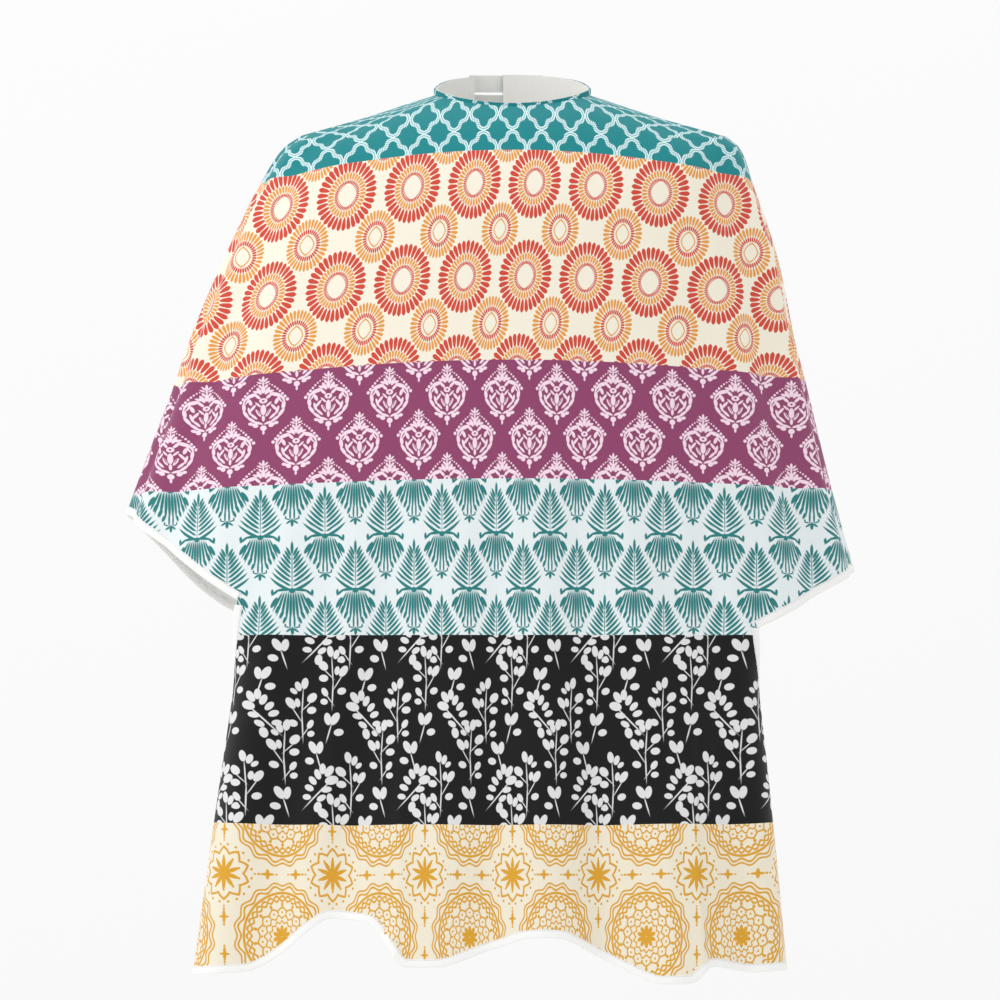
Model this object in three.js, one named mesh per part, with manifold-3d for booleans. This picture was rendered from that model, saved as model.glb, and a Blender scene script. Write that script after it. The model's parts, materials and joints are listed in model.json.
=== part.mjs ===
// Barber cape: one printed sheet draped over shoulders and elbows, hemmed all round, with a
// narrow neckband that closes at the back of the neck on a tab with snap fasteners.
// Millimetres, +Z up, the front faces -Y, the origin is the middle of the neck opening.
import * as THREE from "three";
import { mergeVertices } from "three/addons/utils/BufferGeometryUtils.js";
import Module from "manifold-3d";

const wasm = await Module();
wasm.setup();

// ---------- driving sizes ----------

const CLOTH = 1.2; // the hanging cloth's solid thickness
const SEAM_GAP = 0.5; // between solids that are sewn together
const SLIT_GAP = 3; // the open slit down the middle of the back

// The drape, as sections from the neckline down to the line through both elbows. left and
// right are half widths with the height of the cloth's outer edge there; front and back are
// the depth and height of the cloth in the middle.
const DRAPE = [
  { left: [72, 5], right: [71, 5], front: [60, -6], backHeight: 8 },
  { left: [104, -6], right: [104, -6], front: [84, -22], backHeight: -4 },
  { left: [150, -21], right: [150, -21], front: [108, -50], backHeight: -26 },
  { left: [196, -36], right: [197, -36], front: [126, -88], backHeight: -62 },
  { left: [225, -78], right: [215, -78], front: [138, -135], backHeight: -115 },
  { left: [254, -140], right: [235, -140], front: [146, -195], backHeight: -180 },
  { left: [281, -205], right: [248, -205], front: [151, -265], backHeight: -245 },
  { left: [301, -262], right: [262, -262], front: [155, -345], backHeight: -315 },
  { left: [323, -320], right: [281, -340], front: [158, -430], backHeight: -390 },
  { left: [340, -366], right: [302, -416], front: [160, -515], backHeight: -470 },
];
const FRONT_ARC = 45; // degrees each side of the middle that the long front panel takes
const SHOULDER_END = 100; // degrees where the shoulder panels meet the back

const HEM_HEIGHT = -748; // mean height of the front hem
const HEM_WAVE = 18; // how far its folds lift and drop it
const HEM_WAVE_LENGTH = 200;
const HEM_WAVE_LOW_X = -65; // a lowest point of the wave
const HEM_HALF_WIDTH = { left: 385, right: 330 }; // the section's half widths at the hem
const HEM_DEPTH = 182;
const TURN_BACK_SHARE = 0.84; // share of the front's half width where its edge turns back
const TURN_BACK_LENGTH = 62;
const TURN_BACK_ANGLE = 95; // degrees that the turned edge bends

const BACK_NECK_DEPTH = 58;
const BLADE_DEPTH = 118; // depth at the shoulder blades
const BLADE_HEIGHT = -70;
const BACK_SLOPE = 0.065; // how fast the back hangs away below the shoulder blades
const BACK_FLAT_SHARE = 0.55; // share of the half width over which the back is flat

const FLAP_TOP = new THREE.Vector3(3, 0, BLADE_HEIGHT - 6); // where the fold line leaves the slit
const FLAP_FOOT = new THREE.Vector3(165, 0, -470);
const FLAP_GAP = 0.5;

const TAPE_WIDTH = 7; // hem tape
const TAPE_THICKNESS = 2;
const TAPE_GAP = 0.8; // from the cloth's edge to the tape

const BAND_GAP = 1.2; // between the neckline of the cloth and the neckband
const BAND_LAYER = 0.9; // outer strip and lining
const STIFFENER = 0.6;
const LAYER_GAP = 0.3; // between layers of the band and of the tab
const BAND_BELOW = 9; // how far the band reaches below the neckline
const BAND_ABOVE_FRONT = 3;
const BAND_ABOVE_BACK = 18;
const BAND_START = -150; // degrees, the band's end that carries the tab
const BAND_END = 187; // degrees, the end that slides under the tab

const TAB_START = -149;
const TAB_END = -201;
const TAB_LAYER = 0.8;
const TAB_BOTTOM = 2.4; // above the neckline
const TAB_TOP = 17.5;

const SNAP_ANGLES = [178, 166, 154, 142]; // studs along the band's under end
const SOCKET_COUNT = 2;
const SNAP_HEIGHT = 10; // above the neckline
const STUD_BASE_RADIUS = 4.2;
const STUD_RADIUS = 1.7;
const STUD_BASE = 0.5;
const STUD_REACH = 1.4;
const SNAP_CLEARANCE = 0.3; // between a snap part and the cloth it is set in
const SNAP_SEAT = 0.25; // the rest of its stand-off, as the band curves away under it
const SOCKET_WALL = 0.3;
const RUNNING_GAP = 0.15; // from a stud's tip to the socket's wall
const SOCKET_RADIUS = 4.6;
const SOCKET_BORE = 2.7;
const SOCKET_DEPTH = 1.2;
const CAP_RADIUS = 5;
const CAP_HEIGHT = 1.1;

// From the band's outer face to the tab: a stud, its running gap and the socket over it.
const STUD_TIP = SNAP_CLEARANCE + SNAP_SEAT + STUD_BASE + STUD_REACH;
const TAB_LIFT = STUD_TIP + RUNNING_GAP + SOCKET_WALL + SNAP_CLEARANCE;

// ---------- small helpers ----------

const degrees = THREE.MathUtils.degToRad;
const lerp = THREE.MathUtils.lerp;
const clamp01 = (x) => THREE.MathUtils.clamp(x, 0, 1);

// A smooth value through a list of numbers, at t from 0 to 1.
function smooth(values, t) {
  const points = values.map((v, i) => new THREE.Vector2(i, v));
  return new THREE.SplineCurve(points).getPoint(clamp01(t)).y;
}

function toManifold(geometry) {
  const bare = geometry.clone();
  bare.deleteAttribute("normal");
  bare.deleteAttribute("uv");
  const merged = mergeVertices(bare, 1e-4);
  return new wasm.Manifold(
    new wasm.Mesh({
      numProp: 3,
      vertProperties: new Float32Array(merged.attributes.position.array),
      triVerts: new Uint32Array(merged.index.array),
    }),
  );
}

function toGeometry(solid) {
  const mesh = solid.getMesh();
  const geometry = new THREE.BufferGeometry();
  geometry.setAttribute("position", new THREE.BufferAttribute(mesh.vertProperties, 3));
  geometry.setIndex(new THREE.BufferAttribute(mesh.triVerts, 1));
  geometry.computeVertexNormals();
  return geometry;
}

// Turns a closed geometry the right way out.
function facingOut(geometry) {
  const index = geometry.index.array;
  const p = geometry.attributes.position;
  const [a, b, c] = [new THREE.Vector3(), new THREE.Vector3(), new THREE.Vector3()];
  let volume = 0;
  for (let i = 0; i < index.length; i += 3) {
    a.fromBufferAttribute(p, index[i]);
    b.fromBufferAttribute(p, index[i + 1]);
    c.fromBufferAttribute(p, index[i + 2]);
    volume += a.dot(b.cross(c));
  }
  if (volume < 0) {
    for (let i = 0; i < index.length; i += 3) {
      [index[i + 1], index[i + 2]] = [index[i + 2], index[i + 1]];
    }
  }
  geometry.computeVertexNormals();
  return geometry;
}

// A closed geometry with quads between rows of points; each row is a closed ring, and the
// first and last rows are capped with fans of quads when they are flat rings of four.
function ringSolid(rings) {
  const positions = rings.flatMap((ring) => ring.flatMap((q) => [q.x, q.y, q.z]));
  const count = rings[0].length;
  const index = [];
  for (let r = 0; r + 1 < rings.length; r += 1) {
    for (let k = 0; k < count; k += 1) {
      const next = (k + 1) % count;
      const [a, b] = [r * count + k, r * count + next];
      const [c, d] = [a + count, b + count];
      index.push(a, b, d, a, d, c);
    }
  }
  for (let k = 1; k + 1 < count; k += 1) {
    const end = (rings.length - 1) * count;
    index.push(0, k + 1, k);
    index.push(end, end + k, end + k + 1);
  }
  const geometry = new THREE.BufferGeometry();
  geometry.setAttribute("position", new THREE.Float32BufferAttribute(positions, 3));
  geometry.setIndex(index);
  return facingOut(geometry);
}

// A thin shell of even thickness about the surface point(u, v), u and v from 0 to 1.
function shell(point, columns, rows, thickness) {
  const at = (i, j) => point(i / columns, j / rows);
  const grid = [];
  for (let j = 0; j <= rows; j += 1) {
    const row = [];
    for (let i = 0; i <= columns; i += 1) row.push(at(i, j));
    grid.push(row);
  }
  const normal = (i, j) => {
    const along = new THREE.Vector3().subVectors(
      grid[j][Math.min(i + 1, columns)],
      grid[j][Math.max(i - 1, 0)],
    );
    const down = new THREE.Vector3().subVectors(
      grid[Math.min(j + 1, rows)][i],
      grid[Math.max(j - 1, 0)][i],
    );
    return along.cross(down).normalize();
  };
  const positions = [];
  for (const side of [0.5, -0.5]) {
    for (let j = 0; j <= rows; j += 1) {
      for (let i = 0; i <= columns; i += 1) {
        const q = grid[j][i].clone().addScaledVector(normal(i, j), side * thickness);
        positions.push(q.x, q.y, q.z);
      }
    }
  }
  const layer = (rows + 1) * (columns + 1);
  const id = (i, j, s) => s * layer + j * (columns + 1) + i;
  const index = [];
  const quad = (a, b, c, d) => index.push(a, b, c, a, c, d);
  for (let j = 0; j < rows; j += 1) {
    for (let i = 0; i < columns; i += 1) {
      quad(id(i, j, 0), id(i + 1, j, 0), id(i + 1, j + 1, 0), id(i, j + 1, 0));
      quad(id(i, j, 1), id(i, j + 1, 1), id(i + 1, j + 1, 1), id(i + 1, j, 1));
    }
  }
  for (let i = 0; i < columns; i += 1) {
    quad(id(i, 0, 0), id(i, 0, 1), id(i + 1, 0, 1), id(i + 1, 0, 0));
    quad(id(i, rows, 0), id(i + 1, rows, 0), id(i + 1, rows, 1), id(i, rows, 1));
  }
  for (let j = 0; j < rows; j += 1) {
    quad(id(0, j, 0), id(0, j + 1, 0), id(0, j + 1, 1), id(0, j, 1));
    quad(id(columns, j, 0), id(columns, j, 1), id(columns, j + 1, 1), id(columns, j + 1, 0));
  }
  const geometry = new THREE.BufferGeometry();
  geometry.setAttribute("position", new THREE.Float32BufferAttribute(positions, 3));
  geometry.setIndex(index);
  return facingOut(geometry);
}

// ---------- the draped surface ----------

// How far the back stands off at a height: a slope over the shoulder blades, then a plane.
function backDepth(z) {
  const top = DRAPE[0].backHeight;
  if (z < BLADE_HEIGHT) return BLADE_DEPTH + BACK_SLOPE * (BLADE_HEIGHT - z);
  return lerp(BACK_NECK_DEPTH, BLADE_DEPTH, clamp01((top - z) / (top - BLADE_HEIGHT)));
}

// angle is in degrees from the middle of the front, negative to the left; t runs from the
// neckline (0) to the line through the elbows (1).
function drape(angle, t) {
  const side = angle < 0 ? "left" : "right";
  const sign = Math.sign(angle) || 1;
  const turn = Math.abs(angle);
  const half = smooth(DRAPE.map((s) => s[side][0]), t);
  const sideHeight = smooth(DRAPE.map((s) => s[side][1]), t);
  if (turn <= 90) {
    const c = Math.cos(degrees(turn));
    const depth = smooth(DRAPE.map((s) => s.front[0]), t);
    const height = lerp(sideHeight, smooth(DRAPE.map((s) => s.front[1]), t), c * c);
    return new THREE.Vector3(sign * half * Math.sin(degrees(turn)), -depth * c, height);
  }
  const share = (turn - 90) / 90;
  const corner = 1 - BACK_FLAT_SHARE;
  const c = Math.sin((Math.min(share / corner, 1) * Math.PI) / 2);
  const height = lerp(sideHeight, smooth(DRAPE.map((s) => s.backHeight), t), c * c);
  const x = half * (share < corner ? 1 - corner * (1 - Math.cos((share / corner) * (Math.PI / 2))) : 1 - share);
  return new THREE.Vector3(sign * x, backDepth(height) * c, height);
}

const hemHeight = (x) =>
  HEM_HEIGHT - HEM_WAVE * Math.cos(((x - HEM_WAVE_LOW_X) * 2 * Math.PI) / HEM_WAVE_LENGTH);

// The front below the elbows: s runs across from -1 to 1, d down from 0 to 1.
function skirt(s, d) {
  const start = drape(s * FRONT_ARC, 1);
  const side = s < 0 ? "left" : "right";
  const sign = Math.sign(s) || 1;
  const top = DRAPE[DRAPE.length - 1];
  const half = lerp(top[side][0], HEM_HALF_WIDTH[side], d);
  const depth = lerp(top.front[0], HEM_DEPTH, d);
  const section = (q) => {
    const a = degrees(Math.abs(q) * FRONT_ARC);
    return new THREE.Vector2(half * Math.sin(a), -depth * Math.cos(a));
  };
  let across = section(s);
  const over = (Math.abs(s) - TURN_BACK_SHARE) / (1 - TURN_BACK_SHARE);
  if (over > 0) {
    const edge = section(TURN_BACK_SHARE);
    const a = degrees(TURN_BACK_SHARE * FRONT_ARC);
    const heading = Math.atan2(depth * Math.sin(a), half * Math.cos(a));
    const bend = degrees(TURN_BACK_ANGLE);
    const turned = new THREE.Vector2(
      edge.x + (TURN_BACK_LENGTH * (Math.sin(heading + bend * over) - Math.sin(heading))) / bend,
      edge.y + (TURN_BACK_LENGTH * (Math.cos(heading) - Math.cos(heading + bend * over))) / bend,
    );
    across = section(s).lerp(turned, THREE.MathUtils.smoothstep(d, 0, 0.3));
  }
  const x = sign * across.x;
  return new THREE.Vector3(x, across.y, lerp(start.z, hemHeight(x), d));
}

// ---------- materials ----------

const material = (name, color, roughness, metalness = 0) =>
  new THREE.MeshStandardMaterial({ name, color, roughness, metalness });

const printed = material("printed_cloth", 0xb45a78, 0.75);
const white = material("hem_tape", 0xf4f3f0, 0.85);
const lining = material("band_lining", 0xe9e6df, 0.85);
const stiff = material("stiffener", 0xd8d4cb, 0.9);
const metal = material("snap_metal", 0xc9ccd0, 0.3, 1);

const cape = new THREE.Group();

function add(name, geometry, look, parent = cape) {
  const mesh = new THREE.Mesh(geometry, look);
  mesh.name = name;
  parent.add(mesh);
  return mesh;
}

// ---------- the cloth ----------

// Half a seam gap as an angle, at the section t down from the neckline.
function gapAngle(sign, t) {
  const side = sign < 0 ? "left" : "right";
  const half = smooth(DRAPE.map((s) => s[side][0]), t);
  return THREE.MathUtils.radToDeg(SEAM_GAP / 2 / half) * 1.6;
}

function frontPanel() {
  const upperShare = 0.5;
  const point = (u, v) => {
    const t = Math.min(v / upperShare, 1);
    const s = (2 * u - 1) * (1 - gapAngle(2 * u - 1, t) / FRONT_ARC);
    if (v <= upperShare) return drape(s * FRONT_ARC, t);
    return skirt(s, (v - upperShare) / (1 - upperShare));
  };
  return shell(point, 28, 32, CLOTH);
}

function shoulderPanel(sign) {
  const point = (u, v) => {
    const gap = gapAngle(sign, v);
    return drape(sign * lerp(FRONT_ARC + gap, SHOULDER_END - gap, u), v);
  };
  return shell(point, 18, 16, CLOTH);
}

// The whole back half, from the shoulder panel to the slit, before the flap is cut off it.
function backHalf(sign) {
  const point = (u, v) => {
    const q = drape(sign * lerp(SHOULDER_END + gapAngle(sign, v), 179.9, u), v);
    q.x = sign * Math.max(Math.abs(q.x), SLIT_GAP / 2);
    return q;
  };
  return toManifold(shell(point, 18, 16, CLOTH));
}

// The plane that holds the fold line and stands square to the back.
function foldPlane(sign) {
  const slope = new THREE.Vector3(0, -BACK_SLOPE, 1).normalize();
  const away = new THREE.Vector3(1, 0, 0).cross(slope).normalize();
  const point = (p) => new THREE.Vector3(sign * p.x, backDepth(p.z), p.z);
  const top = point(FLAP_TOP);
  const line = point(FLAP_FOOT).sub(top).normalize();
  const normal = line.clone().cross(away).normalize();
  if (normal.x * sign < 0) normal.negate();
  return { normal, offset: normal.dot(top) };
}

for (const [side, sign] of [["left", -1], ["right", 1]]) {
  const half = backHalf(sign);
  const { normal, offset } = foldPlane(sign);
  const n = [normal.x, normal.y, normal.z];
  const inward = n.map((c) => -c);
  add(`${side}_back_panel`, toGeometry(half.trimByPlane(n, offset)), printed);
  add(`${side}_back_flap`, toGeometry(half.trimByPlane(inward, -offset + FLAP_GAP)), printed);
  add(`${side}_shoulder_panel`, shoulderPanel(sign), printed);
}
add("front_panel", frontPanel(), printed);

// ---------- hem tape ----------

// A flat tape that hangs just past an edge: edge(u) is on the cloth's edge and beyond(u) is
// the unit direction away from it, within the cloth.
function tape(edge, inside, pieces) {
  const rings = [];
  for (let i = 0; i <= pieces; i += 1) {
    const u = i / pieces;
    const p = edge(u);
    const out = p.clone().sub(inside(u)).normalize();
    const ahead = edge(Math.min(u + 0.01, 1)).sub(edge(Math.max(u - 0.01, 0))).normalize();
    out.addScaledVector(ahead, -out.dot(ahead)).normalize();
    const face = out.clone().cross(ahead).normalize();
    const corner = (far, lift) =>
      p
        .clone()
        .addScaledVector(out, TAPE_GAP + far * TAPE_WIDTH)
        .addScaledVector(face, lift * TAPE_THICKNESS);
    rings.push([corner(0, -0.5), corner(1, -0.5), corner(1, 0.5), corner(0, 0.5)]);
  }
  return ringSolid(rings);
}

const inset = 0.985;
const trim = 0.004; // how far each tape stops short of its neighbour, as a share of its run

add(
  "front_hem",
  tape(
    (u) => skirt(lerp(-1, 1, u) * 0.999, 1),
    (u) => skirt(lerp(-1, 1, u) * 0.999, 0.97),
    56,
  ),
  white,
);

for (const [side, sign] of [["left", -1], ["right", 1]]) {
  const at = (from, to) => (u) => sign * lerp(from, to, lerp(trim, 1 - trim, u));
  const sleeve = at(FRONT_ARC + 3, SHOULDER_END);
  add(
    `${side}_sleeve_hem`,
    tape((u) => drape(sleeve(u), 1), (u) => drape(sleeve(u), inset), 18),
    white,
  );
  const edge = (v) => (u) => skirt(sign * v, lerp(0.06, 0.985, u));
  add(`${side}_front_edge`, tape(edge(0.999), edge(0.985), 20), white);
}

// ---------- the back hem and the edges of the slit ----------

for (const [side, sign] of [["left", -1], ["right", 1]]) {
  const onBack = (x, z) => new THREE.Vector3(sign * x, backDepth(z), z);
  // The angle at which the bottom edge meets the fold line.
  const last = DRAPE[DRAPE.length - 1];
  const angleAt = (x) => sign * (90 + 90 * (1 - x / last[side][0]));
  const foot = FLAP_FOOT.x;
  const panelRun = (u) => lerp(sign * (SHOULDER_END + 0.4), angleAt(foot + 3), u);
  const flapRun = (u) => lerp(angleAt(foot - 6), angleAt(SLIT_GAP / 2 + 0.5), u);
  add(
    `${side}_back_hem`,
    tape((u) => drape(panelRun(u), 1), (u) => drape(panelRun(u), inset), 14),
    white,
  );
  add(
    `${side}_flap_hem`,
    tape((u) => drape(flapRun(u), 1), (u) => drape(flapRun(u), inset), 10),
    white,
  );
}

// ---------- the neckband ----------

const neckline = (angle) => drape(angle, 0).z;
const bandAbove = (angle) =>
  lerp(BAND_ABOVE_FRONT, BAND_ABOVE_BACK, ((1 - Math.cos(degrees(angle))) / 2) ** 2);

// A point round the neck, out from the band's own oval by a distance.
function round(angle, out, z) {
  const a = degrees(angle);
  const wide = DRAPE[0].right[0] - BAND_GAP;
  const deep = BACK_NECK_DEPTH - BAND_GAP;
  const q = new THREE.Vector3(wide * Math.sin(a), -deep * Math.cos(a), z);
  const normal = new THREE.Vector3(Math.sin(a) / wide, -Math.cos(a) / deep, 0).normalize();
  return q.addScaledVector(normal, out);
}

// A strip that follows the neck between two angles, from one distance out to another.
function strip(from, to, inner, outer, low, high, pieces) {
  const rings = [];
  for (let i = 0; i <= pieces; i += 1) {
    const angle = lerp(from, to, i / pieces);
    rings.push([
      round(angle, inner, low(angle)),
      round(angle, outer, low(angle)),
      round(angle, outer, high(angle)),
      round(angle, inner, high(angle)),
    ]);
  }
  return ringSolid(rings);
}

const bandLow = (angle) => neckline(wrap(angle)) - BAND_BELOW;
const bandHigh = (angle) => neckline(wrap(angle)) + bandAbove(angle);
function wrap(angle) {
  return ((((angle + 180) % 360) + 360) % 360) - 180;
}

const layers = [
  ["neckband_outer", BAND_LAYER, printed, 0],
  ["neckband_stiffener", STIFFENER, stiff, 1.5],
  ["neckband_lining", BAND_LAYER, lining, 0],
];
let depth = 0;
for (const [name, thickness, look, short] of layers) {
  const low = (a) => bandLow(a) + short;
  const high = (a) => bandHigh(a) - short;
  add(name, strip(BAND_START, BAND_END, depth - thickness, depth, low, high, 56), look);
  depth -= thickness + LAYER_GAP;
}

// ---------- the closing tab ----------

const tab = new THREE.Group();
cape.add(tab);
const tabLow = (angle) => neckline(wrap(angle)) + TAB_BOTTOM;
const tabHigh = (angle) => neckline(wrap(angle)) + TAB_TOP;
const tabInner = TAB_LIFT;
const faceInner = tabInner + TAB_LAYER + LAYER_GAP;
add(
  "closing_tab_lining",
  strip(TAB_START, TAB_END, tabInner, tabInner + TAB_LAYER, tabLow, tabHigh, 16),
  lining,
  tab,
);
add(
  "closing_tab",
  strip(TAB_START, TAB_END, faceInner, faceInner + TAB_LAYER, tabLow, tabHigh, 16),
  printed,
  tab,
);

// The band's end folds out to the tab, and the tab swings on that fold.
const foldLow = (angle) => tabLow(angle) + 0.5;
const foldHigh = (angle) => tabHigh(angle) - 0.5;
add(
  "tab_fold",
  strip(TAB_START - 1.5, TAB_START - 5, LAYER_GAP, TAB_LIFT - LAYER_GAP, foldLow, foldHigh, 3),
  printed,
);

// Places a turned piece square to the band at an angle, with its base a distance out.
function seat(name, profile, angle, out, look, parent) {
  const points = profile.map(([r, h]) => new THREE.Vector2(r, h));
  const mesh = add(name, new THREE.LatheGeometry(points, 20), look, parent);
  const z = neckline(wrap(angle)) + SNAP_HEIGHT;
  const base = round(angle, out, z);
  const normal = round(angle, out + 1, z).sub(base).normalize();
  mesh.position.copy(base);
  mesh.quaternion.setFromUnitVectors(new THREE.Vector3(0, 1, 0), normal);
  return mesh;
}

SNAP_ANGLES.forEach((angle, i) => {
  const stud = [
    [0, 0],
    [STUD_BASE_RADIUS, 0],
    [STUD_BASE_RADIUS, STUD_BASE],
    [STUD_RADIUS, STUD_BASE],
    [STUD_RADIUS * 1.1, STUD_BASE + STUD_REACH * 0.6],
    [STUD_RADIUS * 0.7, STUD_BASE + STUD_REACH],
    [0, STUD_BASE + STUD_REACH],
  ];
  seat(`snap_stud_${i + 1}`, stud, angle, SNAP_CLEARANCE + SNAP_SEAT, metal, cape);
});

SNAP_ANGLES.slice(0, SOCKET_COUNT).forEach((angle, i) => {
  const face = tabInner - SNAP_CLEARANCE - SOCKET_DEPTH;
  const socket = [
    [0, SOCKET_DEPTH - SOCKET_WALL],
    [SOCKET_BORE, SOCKET_DEPTH - SOCKET_WALL],
    [SOCKET_BORE, 0],
    [SOCKET_RADIUS, 0],
    [SOCKET_RADIUS, SOCKET_DEPTH],
    [0, SOCKET_DEPTH],
  ];
  seat(`snap_socket_${i + 1}`, socket, angle, face, metal, tab);
  const outside = tabInner + 2 * TAB_LAYER + LAYER_GAP + SNAP_CLEARANCE + SNAP_SEAT;
  const cap = [
    [0, 0],
    [CAP_RADIUS, 0],
    [CAP_RADIUS, CAP_HEIGHT * 0.35],
    [CAP_RADIUS * 0.82, CAP_HEIGHT * 0.85],
    [CAP_RADIUS * 0.4, CAP_HEIGHT],
    [0, CAP_HEIGHT],
  ];
  seat(`snap_cap_${i + 1}`, cap, angle, outside, metal, tab);
});

export default cape;
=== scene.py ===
# Barber cape: the looks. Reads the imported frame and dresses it, in metres, in the same frame.
import json
import math

import bpy
import numpy as np
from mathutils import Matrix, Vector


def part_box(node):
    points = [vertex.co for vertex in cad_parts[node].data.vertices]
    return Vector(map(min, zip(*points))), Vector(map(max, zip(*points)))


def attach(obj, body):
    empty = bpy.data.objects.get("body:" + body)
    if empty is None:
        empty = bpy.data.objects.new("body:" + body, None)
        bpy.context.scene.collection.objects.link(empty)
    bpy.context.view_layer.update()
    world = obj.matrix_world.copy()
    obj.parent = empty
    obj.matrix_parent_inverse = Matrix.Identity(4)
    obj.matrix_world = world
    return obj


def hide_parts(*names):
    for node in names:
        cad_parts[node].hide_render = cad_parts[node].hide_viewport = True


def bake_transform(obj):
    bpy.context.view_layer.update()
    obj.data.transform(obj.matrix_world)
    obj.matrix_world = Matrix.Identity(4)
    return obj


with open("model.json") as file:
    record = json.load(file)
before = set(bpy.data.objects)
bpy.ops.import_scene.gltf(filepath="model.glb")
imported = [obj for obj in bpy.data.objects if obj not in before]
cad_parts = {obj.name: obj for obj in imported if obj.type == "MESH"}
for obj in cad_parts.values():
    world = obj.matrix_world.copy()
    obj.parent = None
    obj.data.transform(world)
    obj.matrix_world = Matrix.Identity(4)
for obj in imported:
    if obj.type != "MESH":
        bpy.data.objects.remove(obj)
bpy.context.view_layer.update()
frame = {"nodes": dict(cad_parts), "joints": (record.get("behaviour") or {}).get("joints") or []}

MM = 0.001

# ---------------------------------------------------------------------------
# The drape. These are the sections that the frame's panels follow, in millimetres:
# half width and height of the outer edge, left and right; depth and height of the front;
# height of the back.
# ---------------------------------------------------------------------------

SECTIONS = np.array([
    # left        right       front       back
    [72, 5, 71, 5, 60, -6, 8],
    [104, -6, 104, -6, 84, -22, -4],
    [150, -21, 150, -21, 108, -50, -26],
    [196, -36, 197, -36, 126, -88, -62],
    [225, -78, 215, -78, 138, -135, -115],
    [254, -140, 235, -140, 146, -195, -180],
    [281, -205, 248, -205, 151, -265, -245],
    [301, -262, 262, -262, 155, -345, -315],
    [323, -320, 281, -340, 158, -430, -390],
    [340, -366, 302, -416, 160, -515, -470],
], float)
LEFT, LEFT_Z, RIGHT, RIGHT_Z, FRONT, FRONT_Z, BACK_Z = range(7)

FRONT_ARC = 45.0  # degrees each side of the middle that reach the front hem
BACK_START = 100.0  # degrees where the two back pieces are sewn on
SLIT_HALF = 1.5  # half the gap between the two back pieces
BACK_FLAT = 0.55  # share of the back that is flat
NECK_DEPTH, BLADE_DEPTH, BLADE_Z, BACK_SLOPE = 58.0, 118.0, -70.0, 0.065

HEM_LINE = np.array([  # x and height of the bottom edge
    [-340, -766], [-281, -770], [-230, -765], [-202, -747], [-165, -716], [-123, -721],
    [-110, -739], [-100, -761], [-59, -761], [-28, -748], [10, -735], [44, -735],
    [79, -752], [124, -776], [160, -776], [170, -759], [210, -766], [340, -764],
], float)
HEM_HALF_LEFT, HEM_HALF_RIGHT, HEM_DEPTH = 412.0, 346.0, 182.0
TURN_SHARE, TURN_LENGTH, TURN_ANGLE = 0.84, 62.0, math.radians(95)

FLAP_TOP, FLAP_FOOT = (3.0, -76.0), (165.0, -470.0)  # the fold line: x and z

CLOTH = 0.7  # thickness shown
HEM_OUT, HEM_IN, HEM_THICK = 5.5, 2.0, 1.7

# The printed bands, as distances down the middle of the front from the neck.
BANDS = [46.0, 231.0, 335.0, 472.0, 638.0]


def smoothstep(low, high, x):
    t = np.clip((x - low) / (high - low), 0, 1)
    return t * t * (3 - 2 * t)


def section(column, t):
    """A smooth value through one column of the sections, at t from 0 to 1."""
    values = SECTIONS[:, column]
    last = len(values) - 1
    place = np.clip(t, 0, 1) * last
    i = np.minimum(place.astype(int), last - 1)
    w = place - i
    p0, p1 = values[np.maximum(i - 1, 0)], values[i]
    p2, p3 = values[i + 1], values[np.minimum(i + 2, last)]
    a, b = (p2 - p0) / 2, (p3 - p1) / 2
    return ((2 * p1 - 2 * p2 + a + b) * w + (3 * (p2 - p1) - 2 * a - b)) * w * w + a * w + p1


def back_depth(z):
    top = SECTIONS[0, BACK_Z]
    share = np.clip((top - z) / (top - BLADE_Z), 0, 1)
    slope = NECK_DEPTH + (BLADE_DEPTH - NECK_DEPTH) * share
    return np.where(z < BLADE_Z, BLADE_DEPTH + BACK_SLOPE * (BLADE_Z - z), slope)


def drape(angle, t):
    """Points of the upper cloth: angle in degrees from the middle of the front, t down it."""
    turn = np.abs(angle)
    sign = np.where(angle < 0, -1.0, 1.0)
    half = np.where(angle < 0, section(LEFT, t), section(RIGHT, t))
    side_z = np.where(angle < 0, section(LEFT_Z, t), section(RIGHT_Z, t))
    c = np.cos(np.radians(np.minimum(turn, 90)))
    front_x = half * np.sin(np.radians(np.minimum(turn, 90)))
    front_z = side_z + (section(FRONT_Z, t) - side_z) * c * c
    front_y = -section(FRONT, t) * c
    share = np.maximum(turn - 90, 0) / 90
    corner = 1 - BACK_FLAT
    q = np.minimum(share / corner, 1) * math.pi / 2
    back_c = np.sin(q)
    back_z = side_z + (section(BACK_Z, t) - side_z) * back_c**2
    back_x = half * np.where(share < corner, 1 - corner * (1 - np.cos(q)), 1 - share)
    ahead = turn <= 90
    return np.stack([
        sign * np.where(ahead, front_x, back_x),
        np.where(ahead, front_y, back_depth(back_z) * back_c),
        np.where(ahead, front_z, back_z),
    ], -1)


def hem_height(x):
    grid = np.arange(-360.0, 361.0, 2.0)
    line = np.interp(grid, HEM_LINE[:, 0], HEM_LINE[:, 1])
    bell = np.exp(-((np.arange(-8, 9) * 2.0) ** 2) / 50)
    padded = np.pad(line, 8, mode="edge")
    return np.interp(x, grid, np.convolve(padded, bell / bell.sum(), mode="valid"))


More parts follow.
